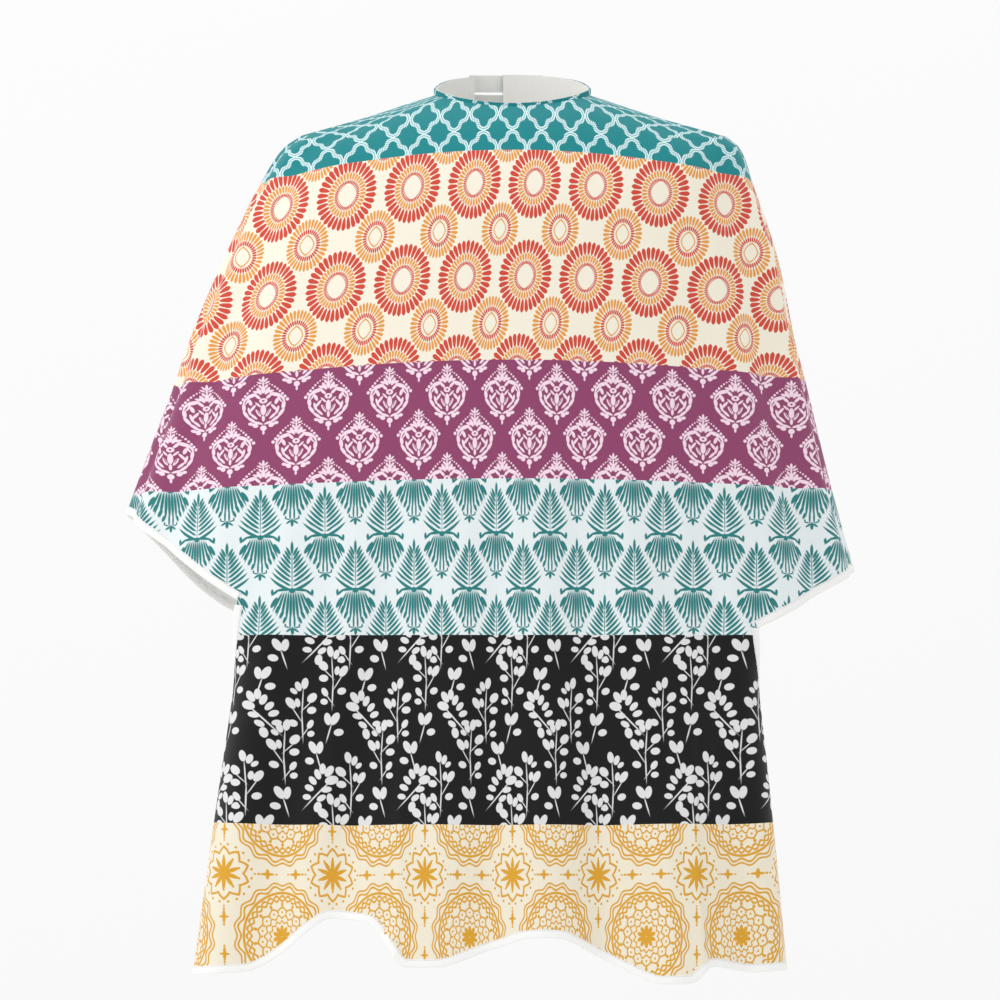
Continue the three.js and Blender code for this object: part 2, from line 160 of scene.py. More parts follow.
def skirt(s, d):
    """Points of the front below the elbows: s across from -1 to 1, d down from 0 to 1."""
    start = drape(s * FRONT_ARC, np.ones_like(s))
    sign = np.where(s < 0, -1.0, 1.0)
    top_half = np.where(s < 0, SECTIONS[-1, LEFT], SECTIONS[-1, RIGHT])
    hem_half = np.where(s < 0, HEM_HALF_LEFT, HEM_HALF_RIGHT)
    half = top_half + (hem_half - top_half) * d
    depth = SECTIONS[-1, FRONT] + (HEM_DEPTH - SECTIONS[-1, FRONT]) * d
    a = np.radians(np.abs(s) * FRONT_ARC)
    x, y = half * np.sin(a), -depth * np.cos(a)
    over = np.clip((np.abs(s) - TURN_SHARE) / (1 - TURN_SHARE), 0, None)
    e = math.radians(TURN_SHARE * FRONT_ARC)
    heading = np.arctan2(depth * math.sin(e), half * math.cos(e))
    run = TURN_LENGTH / TURN_ANGLE
    bent_x = half * math.sin(e) + run * (np.sin(heading + TURN_ANGLE * over) - np.sin(heading))
    bent_y = -depth * math.cos(e) + run * (np.cos(heading) - np.cos(heading + TURN_ANGLE * over))
    w = np.where(over > 0, smoothstep(0, 0.3, d), 0)
    x, y = x + (bent_x - x) * w, y + (bent_y - y) * w
    x = sign * x
    z = start[..., 2] + (hem_height(x) - start[..., 2]) * d
    return np.stack([x, y, z], -1)


def print_drop(p):
    """How far down the print a point lies: the bands sag a little towards the shoulders."""
    x, z = p[..., 0], p[..., 2]
    sag = 60 * np.clip(1 + z / 500, 0, 1) ** 1.4
    return -z - sag * np.minimum(np.abs(x) / 300, 1.1) ** 2


# ---------------------------------------------------------------------------
# The cloth's grid: one column per angle, with rows that keep to the printed bands.
# ---------------------------------------------------------------------------

FINE = 500
ROW_COUNTS = [9, 31, 18]  # rows in the three upper bands
SLEEVE_ROWS, ELBOW_ROWS, BLACK_ROWS, GOLD_ROWS = 18, 6, 28, 20


def column_path(angle, long):
    """Points down one column of the cloth, finely spaced, from the neckline to the hem."""
    t = np.linspace(0, 1, FINE)
    turn = np.full(FINE, abs(angle))
    if abs(angle) > BACK_START:
        half = section(LEFT if angle < 0 else RIGHT, t)
        last = 180 - 90 * SLIT_HALF / half
        turn = BACK_START + (last - BACK_START) * (abs(angle) - BACK_START) / (180 - BACK_START)
    path = drape(math.copysign(1, angle) * turn, t)
    if long:
        path = np.concatenate([path, skirt(np.full(FINE, angle / FRONT_ARC), t)[1:]])
    return path


def at_drops(path, drops):
    v = np.maximum.accumulate(print_drop(path) + np.arange(len(path)) * 1e-6)
    return np.stack([np.interp(drops, v, path[:, k]) for k in range(3)], -1)


def elbow_drop(angle):
    """The drop at which a front column meets the line between the two elbows' hems."""
    ends = [print_drop(drape(np.array([a]), np.array([1.0])))[0] for a in (-FRONT_ARC, FRONT_ARC)]
    return ends[0] + (ends[1] - ends[0]) * (angle + FRONT_ARC) / (2 * FRONT_ARC)


def row_drops(path, angle, long):
    v = print_drop(path)
    marks = [(BANDS[0], ROW_COUNTS[0]), (BANDS[1], ROW_COUNTS[1]), (BANDS[2], ROW_COUNTS[2])]
    marks.append((elbow_drop(angle) if long else v[-1], SLEEVE_ROWS))
    if long:
        marks += [(BANDS[3], ELBOW_ROWS), (BANDS[4], BLACK_ROWS), (v[-1], GOLD_ROWS)]
    drops, low = [v[:1]], v[0]
    for high, count in marks:
        drops.append(low + (high - low) * np.arange(1, count + 1) / count)
        low = high
    return np.concatenate(drops)


BAND_OF_ROW = np.repeat(
    [0, 1, 2, 3, 3, 4, 5], ROW_COUNTS + [SLEEVE_ROWS, ELBOW_ROWS, BLACK_ROWS, GOLD_ROWS])
SHORT = sum(ROW_COUNTS) + SLEEVE_ROWS + 1
LONG = len(BAND_OF_ROW) + 1

side_angles = np.concatenate([
    np.linspace(0, FRONT_ARC, 66)[:-1],
    np.linspace(FRONT_ARC, BACK_START, 46)[:-1],
    np.linspace(BACK_START, 180, 58),
])
ANGLES = np.concatenate([-side_angles[:0:-1], side_angles])
COLUMNS = len(ANGLES)
IS_LONG = np.abs(ANGLES) <= FRONT_ARC + 1e-6
MIDDLE = COLUMNS // 2

cloth = np.zeros((COLUMNS, LONG, 3))
for i, angle in enumerate(ANGLES):
    path = column_path(angle, IS_LONG[i])
    rows = at_drops(path, row_drops(path, angle, IS_LONG[i]))
    cloth[i, :len(rows)] = rows
    cloth[i, len(rows):] = rows[-1]

# Where each point lies on the print: v down it, u round it from the middle of the front. The
# print is a little crowded in the middle of the front. The topmost band lies nearly flat over the
# shoulders, so there and behind it is measured along the cloth.
print_v = print_drop(cloth)
top = ROW_COUNTS[0]
pieces = np.linalg.norm(np.diff(cloth[:, :top + 1], axis=1), axis=-1)
along = BANDS[0] - np.cumsum(pieces[:, ::-1], axis=1)[:, ::-1]
level = smoothstep(55, 90, np.abs(ANGLES))[:, None]
print_v[:, :top] += (along - print_v[:, :top]) * level
step = np.diff(cloth, axis=0)
mid_x = (cloth[1:, :, 0] + cloth[:-1, :, 0]) / 2
ahead = (np.abs(ANGLES[1:] + ANGLES[:-1]) / 2 < 90)[:, None]
stretch = 1 + 0.3 * np.exp(-((mid_x / 150) ** 2)) * ahead
run = np.sqrt((step[..., 0] * stretch) ** 2 + (step[..., 1] * np.where(ahead, 0.7, 1.0)) ** 2)
print_u = np.concatenate([np.zeros((1, LONG)), np.cumsum(run, axis=0)])
print_u -= print_u[MIDDLE]


def grid_normals(points):
    """Outward normals of the cloth, one at each grid point."""
    across = np.gradient(points, axis=0)
    down = np.gradient(points, axis=1)
    for i in range(COLUMNS):  # short columns end early
        if not IS_LONG[i]:
            down[i, SHORT - 1] = points[i, SHORT - 1] - points[i, SHORT - 2]
            down[i, SHORT:] = down[i, SHORT - 1]
    for i, side in ((np.argmax(IS_LONG), 1), (COLUMNS - 1 - np.argmax(IS_LONG[::-1]), -1)):
        across[i, SHORT:] = (points[i + side, SHORT:] - points[i, SHORT:]) * side
    n = np.cross(down, across)
    return n / np.maximum(np.linalg.norm(n, axis=-1, keepdims=True), 1e-9)


# ---------------------------------------------------------------------------
# Folds: soft ones that hang from the shoulders and grow towards the hems.
# ---------------------------------------------------------------------------

FRONT_FOLDS = [  # x at the hem, half width, height
    (-258, 20, 7), (-215, 22, -8), (-152, 24, -11), (-64, 24, 6), (-18, 22, -5), (28, 28, 7),
    (84, 22, -9), (140, 20, 8), (205, 18, -7), (236, 18, 6),
]
CREASE_FLAT = 45  # how far beside a fold line of the back its waves are taken out
NECK_REACH = 30  # how far from the neckline the cloth is drawn in to the band
FOLD_EDGES = [(-106, 10), (167, -9)]  # x at the hem, height (its sign: which way it laps)
SIDE_FOLDS = [(52, 5, 4), (64, 4, -4), (75, 5, 5), (86, 4, -4), (94, 4, 4)]
BACK_FOLDS = [(107, 5, -5), (118, 5, 6), (131, 6, -6), (145, 6, 6), (160, 6, -5), (172, 5, 3)]

turn = np.abs(ANGLES)[:, None] * np.ones((1, LONG))
hem_x = cloth[:, -1, 0][:, None] * np.ones((1, LONG))
neck_gap = np.linalg.norm(cloth - cloth[:, :1], axis=-1)
fold = np.zeros((COLUMNS, LONG))
low = smoothstep(180, 720, print_v)
for x0, width, height in FRONT_FOLDS:
    lean = hem_x - x0 + 14 * (1 - low) * np.sin(x0)
    fold += np.where(IS_LONG[:, None], height * low * np.exp(-((lean / width) ** 2)), 0)
for x0, height in FOLD_EDGES:
    d = (hem_x - x0) * math.copysign(1, height)
    d = d + 10 * (1 - smoothstep(420, 740, print_v))
    lap = np.where(d > 0, np.exp(-np.abs(d) / 34), np.exp(-((d / 4) ** 2)))
    fold += np.where(IS_LONG[:, None], abs(height) * smoothstep(480, 730, print_v) * lap, 0)
for sign in (-1, 1):
    here = np.sign(ANGLES)[:, None] == sign
    grow = smoothstep(10, 330, neck_gap)
    for a0, width, height in SIDE_FOLDS + BACK_FOLDS:
        a0 = a0 + 1.5 * math.sin(3 * a0 + sign)
        fold += np.where(here, height * grow * np.exp(-(((turn - a0) / width) ** 2)), 0)
gather = np.sin(np.radians(ANGLES * 11)) + 0.6 * np.sin(np.radians(ANGLES * 17 + 40))
gather *= 0.35 + 0.65 * np.sin(np.radians(np.clip(turn[:, 0], 0, 180))) ** 2
fold += 1.3 * gather[:, None] * np.exp(-neck_gap / 26) * smoothstep(0, 6, neck_gap)
fold *= smoothstep(0, 12, neck_gap)
fold *= 1 - 0.75 * smoothstep(176, 180, turn)

# The back lies flat beside the lines that its lower corners fold on, so that a folded corner
# clears the cloth next to it.
crease = np.subtract(FLAP_FOOT, FLAP_TOP) / np.hypot(*np.subtract(FLAP_FOOT, FLAP_TOP))
from_crease = ((np.abs(cloth[..., 0]) - FLAP_TOP[0]) * crease[1]
               - (cloth[..., 2] - FLAP_TOP[1]) * crease[0])
fold *= 1 - smoothstep(95, 115, turn) * np.exp(-((from_crease / CREASE_FLAT) ** 4))

cloth = cloth + grid_normals(cloth) * fold[..., None]

# The neckline is drawn in to the neckband all round.
band_low, band_high = (np.array(corner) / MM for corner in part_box("neckband_outer"))
oval = (band_high - band_low)[:2] / 2 + CLOTH / 2 + 0.25
reach = np.hypot(cloth[:, :1, 0] / oval[0], cloth[:, :1, 1] / oval[1])
pull = cloth[:, :1, :2] * (1 / reach - 1)[..., None]
cloth[..., :2] += pull * np.exp(-((neck_gap / NECK_REACH) ** 2))[..., None]
normals = grid_normals(cloth)

# ---------------------------------------------------------------------------
# Meshes
# ---------------------------------------------------------------------------


def new_mesh(name, points, faces, materials, face_materials, uvs, sharp=()):
    """A smooth-shaded mesh in metres from points in millimetres. uvs: name -> one pair a corner."""
    mesh = bpy.data.meshes.new(name)
    mesh.from_pydata((np.asarray(points) * MM).tolist(), [], faces)
    for material in materials:
        mesh.materials.append(material)
    mesh.polygons.foreach_set("material_index", face_materials)
    mesh.polygons.foreach_set("use_smooth", [True] * len(faces))
    for uv_name, values in uvs.items():
        layer = mesh.uv_layers.new(name=uv_name)
        layer.data.foreach_set("uv", np.asarray(values, float).ravel())
    if sharp:
        edges = {tuple(sorted(e)) for e in sharp}
        marks = [tuple(sorted(e.vertices)) in edges for e in mesh.edges]
        attribute = mesh.attributes.new("sharp_edge", "BOOLEAN", "EDGE")
        attribute.data.foreach_set("value", marks)
    mesh.update()
    mesh.validate()
    obj = bpy.data.objects.new(name, mesh)
    bpy.context.scene.collection.objects.link(obj)
    return obj


def cloth_sheet(name, first, last, materials, across):
    """The cloth from one column to another: printed outside, plain inside, with a raw rim."""
    number, points, place = {}, [], []
    for i in range(first, last + 1):
        for j in range(LONG if IS_LONG[i] else SHORT):
            number[i, j] = len(points)
            points.append(cloth[i, j] + normals[i, j] * CLOTH / 2)
            place.append((across[i, j], print_v[i, j]))
    count = len(points)
    points += [p - normals[key] * CLOTH for key, p in zip(number, points)]
    place = np.array(place)
    chart = (place - place.min(0)) / (place.max(0) - place.min(0))
    chart[:, 1] = 1 - chart[:, 1]
    printed = place * [MM, -MM]

    faces, kinds, uv, bake = [], [], [], []
    directed = {}
    for i in range(first, last):
        rows = SHORT if not (IS_LONG[i] and IS_LONG[i + 1]) else LONG
        for j in range(rows - 1):
            quad = [number[i, j], number[i, j + 1], number[i + 1, j + 1], number[i + 1, j]]
            faces.append(quad)
            kinds.append(BAND_OF_ROW[j])
            uv += [printed[k] for k in quad]
            bake += [chart[k] * [0.79, 1.0] for k in quad]
            for a, b in zip(quad, quad[1:] + quad[:1]):
                directed[a, b] = True
            back = [k + count for k in quad[::-1]]
            faces.append(back)
            kinds.append(6)
            uv += [printed[k - count] for k in back]
            bake += [chart[k - count] * [0.16, 1.0] + [0.84, 0] for k in back]
    rim = [(a, b) for a, b in directed if (b, a) not in directed]
    for n, (a, b) in enumerate(rim):
        faces.append([b, a, a + count, b + count])
        kinds.append(6)
        uv += [printed[b], printed[a], printed[a], printed[b]]
        low, high = n / len(rim), (n + 1) / len(rim)
        bake += [(0.80, high), (0.80, low), (0.83, low), (0.83, high)]
    sharp = rim + [(a + count, b + count) for a, b in rim]
    return new_mesh(name, points, faces, materials, kinds, {"cloth": uv, "OFBake": bake}, sharp)


def binding(name, edge, inward, outward, material, replaced, bake_rows=10):
    """A folded hem along an edge, lightly puckered by its stitches."""
    length = np.concatenate([[0], np.cumsum(np.linalg.norm(np.diff(edge, axis=0), axis=1))])
    count = max(2, round(length[-1] / 2.4))
    at = np.linspace(0, length[-1], count + 1)

    def along(values):
        return np.stack([np.interp(at, length, values[:, k]) for k in range(3)], -1)

    edge, inward, outward = along(edge), along(inward), along(outward)
    tangent = np.gradient(edge, axis=0)
    tangent /= np.linalg.norm(tangent, axis=1, keepdims=True)
    inward -= tangent * np.sum(inward * tangent, 1, keepdims=True)
    inward /= np.linalg.norm(inward, axis=1, keepdims=True)
    outward -= tangent * np.sum(outward * tangent, 1, keepdims=True)
    outward -= inward * np.sum(outward * inward, 1, keepdims=True)
    outward /= np.linalg.norm(outward, axis=1, keepdims=True)
    profile = np.array([
        (-HEM_IN, 0), (-1.6, 0.55), (-0.4, 0.86), (1.6, 0.98), (3.6, 0.74), (4.9, 0.8),
        (HEM_OUT, 0.52), (HEM_OUT, -0.52), (4.9, -0.8), (3.6, -0.74), (1.6, -0.98),
        (-0.4, -0.86), (-1.6, -0.55)])
    puff = 1 + 0.16 * np.sin(at * 0.83) * np.sin(at * 0.31 + 1) + 0.07 * np.sin(at * 2.1)
    sway = 0.25 * np.sin(at * 0.47 + 2) * np.sin(at * 0.19)
    points = []
    for k in range(count + 1):
        for a, b in profile:
            points.append(edge[k] + inward[k] * (a + sway[k] * (a > 0))
                          + outward[k] * b * HEM_THICK / 2 * puff[k] * 1.1)
    n = len(profile)
    around = np.concatenate([[0], np.cumsum(np.linalg.norm(
        np.diff(np.concatenate([profile, profile[:1]]), axis=0), axis=1))])
    faces, uv, bake = [], [], []
    per_row = math.ceil(count / bake_rows)
    for k in range(count):
        x0, row = k % per_row, k // per_row
        for m in range(n):
            q = (m + 1) % n
            faces.append([k * n + m, k * n + q, (k + 1) * n + q, (k + 1) * n + m])
            corners = [(k, m), (k, m + 1), (k + 1, m + 1), (k + 1, m)]
            uv += [(at[c] * MM, around[d] * MM) for c, d in corners]
            for c, d in corners:
                x = (x0 + (c - k)) / per_row * 0.95
                bake.append((x, (row + 0.04 + 0.92 * around[d] / around[-1]) / bake_rows))
    for k, turn_round in ((0, False), (count, True)):
        ring = [k * n + m for m in range(n)]
        faces.append(ring if turn_round else ring[::-1])
        place = [(0.97 + 0.012 * math.cos(6.283 * m / n), (0.2 + 0.6 * turn_round)
                  + 0.012 * math.sin(6.283 * m / n)) for m in range(n)]
        order = place if turn_round else place[::-1]
        uv += [(at[k] * MM, 0)] * n
        bake += order
    obj = new_mesh(name, points, faces, [material], [0] * len(faces), {"cloth": uv, "OFBake": bake})
    normal = np.cross(points[n] - points[0], points[1] - points[0])
    if np.dot(normal, points[1] - (points[0] + points[7]) / 2) > 0:
        obj.data.flip_normals()
    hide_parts(*replaced)
    return obj

# ---------------------------------------------------------------------------
# The print, drawn with shader nodes in millimetres on the flat cloth
# ---------------------------------------------------------------------------

CROWDING = 1.3  # the print is this much wider than it looks in the middle of the front
EDGE_BLUR = 0.35


class Field:
    """A number that varies over the cloth, made of Math nodes and used like a number."""

    def __init__(self, tree, socket):
        self.tree, self.socket = tree, socket

    def __add__(self, other):
        return maths("ADD", self, other)

    def __radd__(self, other):
        return maths("ADD", other, self)

    def __sub__(self, other):
        return maths("SUBTRACT", self, other)

    def __rsub__(self, other):
        return maths("SUBTRACT", other, self)

    def __mul__(self, other):
        return maths("MULTIPLY", self, other)

    def __rmul__(self, other):
        return maths("MULTIPLY", other, self)

    def __truediv__(self, other):
        return maths("DIVIDE", self, other)

    def __abs__(self):
        return maths("ABSOLUTE", self)


def maths(operation, *values, clamp=False):
    tree = next(v.tree for v in values if isinstance(v, Field))
    node = tree.nodes.new("ShaderNodeMath")
    node.operation, node.use_clamp = operation, clamp
    for socket, value in zip(node.inputs, values):
        if isinstance(value, Field):
            tree.links.new(value.socket, socket)
        else:
            socket.default_value = value
    return Field(tree, node.outputs[0])


def inside(distance, blur=EDGE_BLUR):
    """1 where the distance is negative, 0 where it is positive."""
    return maths("MULTIPLY_ADD", distance, -1 / blur, 0.5, clamp=True)


def least(*fields):
    found = fields[0]
    for field in fields[1:]:
        found = maths("MINIMUM", found, field)
    return found


def most(*fields):
    found = fields[0]
    for field in fields[1:]:
        found = maths("MAXIMUM", found, field)
    return found


def repeat(x, pitch, start=0.0):
    """Distance to the nearest repeat of a motif, with its sign."""
    t = (x - start) / pitch
    return (t - maths("ROUND", t)) * pitch


def mirrored(x, pitch, start=0.0):
    return maths("PINGPONG", x - start, pitch / 2)


def choose(a, b, pick):
    """a where pick is 1, b where it is 0."""
    return b + (a - b) * pick


def length(x, y):
    return maths("SQRT", x * x + y * y)


def zigzag(x):
    """A wave of straight lines between -1 and 1, one for each unit of x."""
    return maths("MULTIPLY_ADD", maths("PINGPONG", x, 0.5), 4.0, -1.0)


def blobs(x, y, shapes):
    """Distance to the nearest of some ellipses: x, y, half width, half height, degrees to the right
    from upright."""
    tree = x.tree
    point = tree.nodes.new("ShaderNodeCombineXYZ")
    tree.links.new(x.socket, point.inputs[0])
    tree.links.new(y.socket, point.inputs[1])
    found = []
    for px, py, rx, ry, lean in shapes:
        place = tree.nodes.new("ShaderNodeMapping")
        place.vector_type = "TEXTURE"
        place.inputs["Location"].default_value = (px, py, 0)
        place.inputs["Rotation"].default_value = (0, 0, -math.radians(lean))
        place.inputs["Scale"].default_value = (rx, ry, 1)
        tree.links.new(point.outputs[0], place.inputs["Vector"])
        far = tree.nodes.new("ShaderNodeVectorMath")
        far.operation = "LENGTH"
        tree.links.new(place.outputs[0], far.inputs[0])
        small = min(rx, ry)
        found.append(maths("MULTIPLY_ADD", Field(tree, far.outputs["Value"]), small, -small))
    return least(*found)


def petals(x, y, count, middle, half, width, taper, phase=0.0):
    """Distance to a ring of petals pointing outwards."""
    r, a = length(x, y), maths("ARCTAN2", x, y)
    turn = repeat(a / (2 * math.pi / count) + phase, 1.0)
    across = abs(turn * r * (2 * math.pi / count))
    s = (r - middle) / half
    return across - (1 - s * s * s * s) * most(s * taper + 1, 0.05) * width


def linear(colour):
    return tuple(c / 12.92 if c < 0.04045 else ((c + 0.055) / 1.055) ** 2.4
                 for c in (v / 255 for v in colour))


# ---- the six bands: each returns a list of (mask, colour), drawn over the ground colour ----


def trellis(x, y):
    pitch, drop = 25.6, 31.0
    a, b = mirrored(x, pitch) / (pitch / 2), mirrored(y, drop, -12.5) / (drop / 2)
    s = a - b
    steps = maths("MULTIPLY_ADD", zigzag(s * 6.5), 0.07, 0.0) * inside(abs(s) - 0.48, 0.1)
    level = maths("COSINE", s * (2 * math.pi)) * -0.085 + steps
    far = (a + b - 1 - level) * 9.6
    lines = inside(abs(abs(far) - 1.02) - 0.58)
    gap = inside(abs(far) - 0.5)
    return [(gap, (110, 184, 190)), (lines, (224, 240, 242))]


def medallions(x, y):
    pitch, drop = 52.5, 82.5
    x = x - (y + 75) * 0.1
    lx, ly = repeat(x, pitch, 19.3), repeat(y, drop, -75.0)
    sx, sy = repeat(x, pitch, 19.3 - pitch / 2), repeat(y, drop, -75.0 - drop / 2)
    lx, sx = lx * 1.4, sx * 1.5
    heart = length(lx, ly) + abs(lx * ly) * 0.03 - abs(ly) * 0.1
    red = least(
        petals(lx, ly, 34, 26.0, 6.4, 1.95, 0.4), petals(lx, ly, 44, 12.0, 1.7, 0.66, 0.1),
        abs(heart - 10.6) - 0.35, petals(sx, sy, 34, 12.4, 2.5, 0.9, 0.1))
    orange = least(
        petals(lx, ly, 34, 17.0, 3.5, 1.15, 0.3, 0.5), petals(sx, sy, 34, 19.2, 4.9, 1.3, 0.35))
    diamond = length(sx, sy) + abs(sx * sy) * 0.045 - abs(sy) * 0.12
    outline = abs(diamond - 7.8) - 0.75
    return [(inside(outline), (222, 160, 80)), (inside(orange), (226, 152, 62)),
            (inside(red), (206, 64, 46))]


def damask(x, y):
    pitch, drop = 47.6, 78.0
    ax, ay = mirrored(x, pitch, -9.1), repeat(y, drop, -260.4)
    bx, by = mirrored(x, pitch, -9.1 + pitch / 2), repeat(y, drop, -260.4 - drop / 2)
    pick = inside(ax / (pitch / 2) + abs(ay) / (drop / 2) - 1, 0.001)
    x, y = choose(ax, bx, pick), choose(ay, by, pick)
    shapes = [
        (0, 24.2, 0.75, 2.5, 0), (1.9, 23.2, 0.62, 2.1, 38), (2.7, 20.9, 0.62, 2.0, 62),
        (0, 19.4, 0.55, 3.0, 0), (2.1, 17.4, 0.8, 1.9, 30), (0, 14.3, 1.3, 3.3, 0),
        (2.9, 13.2, 1.15, 3.6, 24), (5.1, 12.6, 0.95, 2.4, 72), (4.0, 8.2, 1.0, 3.0, 40),
        (8.6, 9.4, 3.6, 1.7, 20), (12.6, 5.2, 1.7, 4.2, -28), (14.2, -0.8, 1.2, 3.9, 6),
        (12.6, -7.6, 1.1, 4.2, 30), (8.3, -13.2, 1.0, 4.3, 46), (3.6, -16.4, 0.9, 3.4, 66),
        (9.3, 3.2, 1.1, 3.0, 18), (7.4, -2.4, 0.9, 3.6, -34), (9.8, -5.0, 0.9, 3.8, 14),
        (6.6, -10.2, 0.85, 3.6, 40), (0, 4.0, 2.4, 2.4, 0), (0, -4.4, 1.6, 4.9, 0),
        (3.6, 0.6, 0.7, 3.0, 40), (3.4, -7.2, 0.9, 3.8, 26), (0, -12.4, 0.9, 2.8, 0),
        (0, -21.4, 1.9, 2.5, 0), (0, -25.4, 0.7, 2.0, 0), (5.6, -18.6, 1.6, 2.3, 40),
        (8.8, -17.0, 1.2, 1.9, 70)]
    shapes = [(px, py, rx * 1.18, ry, lean) for px, py, rx, ry, lean in shapes]
    for k in range(8):
        t = k / 7
        shapes.append((4.4 + 12.6 * t, 19.4 - 15.2 * t**1.35, 0.5 + 0.7 * t, 0.6 + 0.9 * t, 0))
    holes = blobs(x, y, [
        (3.3, -6.6, 0.35, 2.4, 26), (0, 4.0, 0.9, 0.9, 0), (12.9, 4.2, 0.45, 2.6, -28)])
    return [(inside(most(blobs(x, y, shapes), -1 * holes)), (246, 220, 234))]


def palmettes(x, y):
    pitch, drop = 46.8, 98.0
    ax, ay = mirrored(x, pitch, -14.2), repeat(y, drop, -382.0)
    bx, by = mirrored(x, pitch, -14.2 + pitch / 2), repeat(y, drop, -382.0 - drop / 2)
    pick = inside(ax / (pitch / 2) + abs(ay) / (drop / 2) - 1, 0.001)
    x, y = choose(ax, bx, pick), choose(ay, by, pick)
    feather = [(0, 37.6, 1.1, 5.8, 0), (0, 20, 0.35, 19, 0)]
    for k in range(9):
        t = k / 8
        lean, reach = 74 - 52 * t**0.85, 7.6 - 3.6 * t**1.15
        feather.append((0.9 + reach * math.sin(math.radians(lean)),
                        -0.6 + 31.0 * t + reach * math.cos(math.radians(lean)),
                        1.55 - 0.5 * t, reach, lean))
    fan = [(0, -1.2, 2.2, 2.4, 0), (5.4, 0.4, 1.35, 6.0, 82), (11.6, 0.2, 1.3, 3.2, 116),
           (13.9, 1.6, 1.0, 2.8, 6), (12.4, -8.6, 2.0, 4.2, -30), (9.6, -15.4, 1.5, 3.9, -24),
           (7.2, -21.6, 1.3, 3.5, -20), (5.2, -27.0, 1.1, 3.1, -16), (1.5, -29.0, 0.7, 6.4, 0),
           (3.4, -33.8, 0.6, 2.0, 62), (4.8, -32.0, 0.6, 1.6, 0), (0, -37.4, 1.2, 3.6, 0),
           (2.4, -36.6, 0.95, 2.3, -52)]
    for k, (lean, reach) in enumerate([(1, 12.6), (4, 12.6), (9, 11.4), (16, 9.8), (25, 7.6)]):
        fan.append((0.8 + 1.5 * k + reach * math.sin(math.radians(lean)),
                    -2.2 - reach * math.cos(math.radians(lean)), 1.0, reach, -lean))
    veins = blobs(x, y - x * x * 0.03, [(6.0, 4.4, 0.45, 3.4, 62), (5.0, 12.4, 0.4, 3.0, 52)])
    drawn = least(blobs(x, y - x * x * 0.03, feather), blobs(x, y + x * x * 0.022, fan))
    return [(inside(most(drawn, -1 * veins), 0.4), (20, 120, 120))]


TWIG = [
    (0.4, -15, 0.5, 12, -2), (0.6, 4, 0.45, 13, 3), (-4.6, -5, 0.4, 8, -28), (4.6, 2, 0.4, 6, 42),
    (3.6, -19, 0.4, 6, 32), (2.8, 20.5, 2.5, 4.9, 8), (-2.8, 18.0, 2.2, 4.2, -14),
    (-6.6, 14.0, 1.9, 3.0, -40), (9.2, 8.6, 3.3, 4.6, 34), (8.8, -1.8, 3.1, 3.6, 78),
    (-9.2, 4.0, 2.8, 5.2, -26), (-3.6, 4.4, 1.9, 3.8, -6), (-7.6, -12.6, 2.9, 3.4, -52),
    (7.6, -13.4, 2.3, 4.0, 24), (8.2, -21.4, 2.6, 2.9, 66)]
SPRAY = [
    (-1, -2, 0.6, 16, -40), (-12.8, 9.0, 3.7, 5.0, -64), (-10.8, 16.4, 2.8, 5.2, -26),
    (-5.0, 18.4, 2.4, 4.6, 0), (-0.6, 13.8, 2.4, 4.6, 18), (4.0, 8.6, 2.4, 4.2, 34),
    (7.2, 2.6, 2.6, 3.8, 58), (9.4, -5.0, 2.5, 3.3, 80), (-8.2, 1.2, 2.6, 4.0, -78),
    (-3.8, -6.0, 2.4, 3.8, -50), (-0.6, -13.4, 2.9, 4.6, -10)]
PAIR = [(2.4, -6.6, 0.5, 8, -14), (-2.8, 4.8, 2.9, 5.8, -24), (3.6, 4.6, 2.6, 5.4, 8),
        (-6.0, -6.4, 3.6, 3.0, 22)]
SCATTER = [  # a motif, where it lies, and -1 where it is mirrored
    (TWIG, -24.0, 536.0, 1), (TWIG, 0.0, 508.0, -1), (SPRAY, 25.0, 544.0, 1),
    (PAIR, 24.0, 511.0, -1), (PAIR, -38.0, 486.0, 1)]


def sprigs(x, y):
    """White berries and leaves on thin stems, in rows that interlock."""
    pitch, drop, across = 74.0, 64.5, 37.0
    sets = []
    for motif, x0, y0, flip in SCATTER:
        near = [(px * 0.84, py * 1.05, rx, ry, lean) for px, py, rx, ry, lean in motif]
        row = maths("ROUND", (y + y0) / drop)
        turn = maths("MULTIPLY_ADD", maths("PINGPONG", row, 1.0), -2.0 * flip, float(flip))
        sets.append(blobs(repeat(x + row * across, pitch, x0) * turn, repeat(y, drop, -y0), near))
    return [(inside(least(*sets)), (224, 224, 224))]


def wavy(r, a, at, height, count, half, phase=0.0):
    """Distance to a wavy ring."""
    wave = maths("COSINE", maths("MULTIPLY_ADD", a, float(count), phase))
    return abs(r - at - wave * height) - half


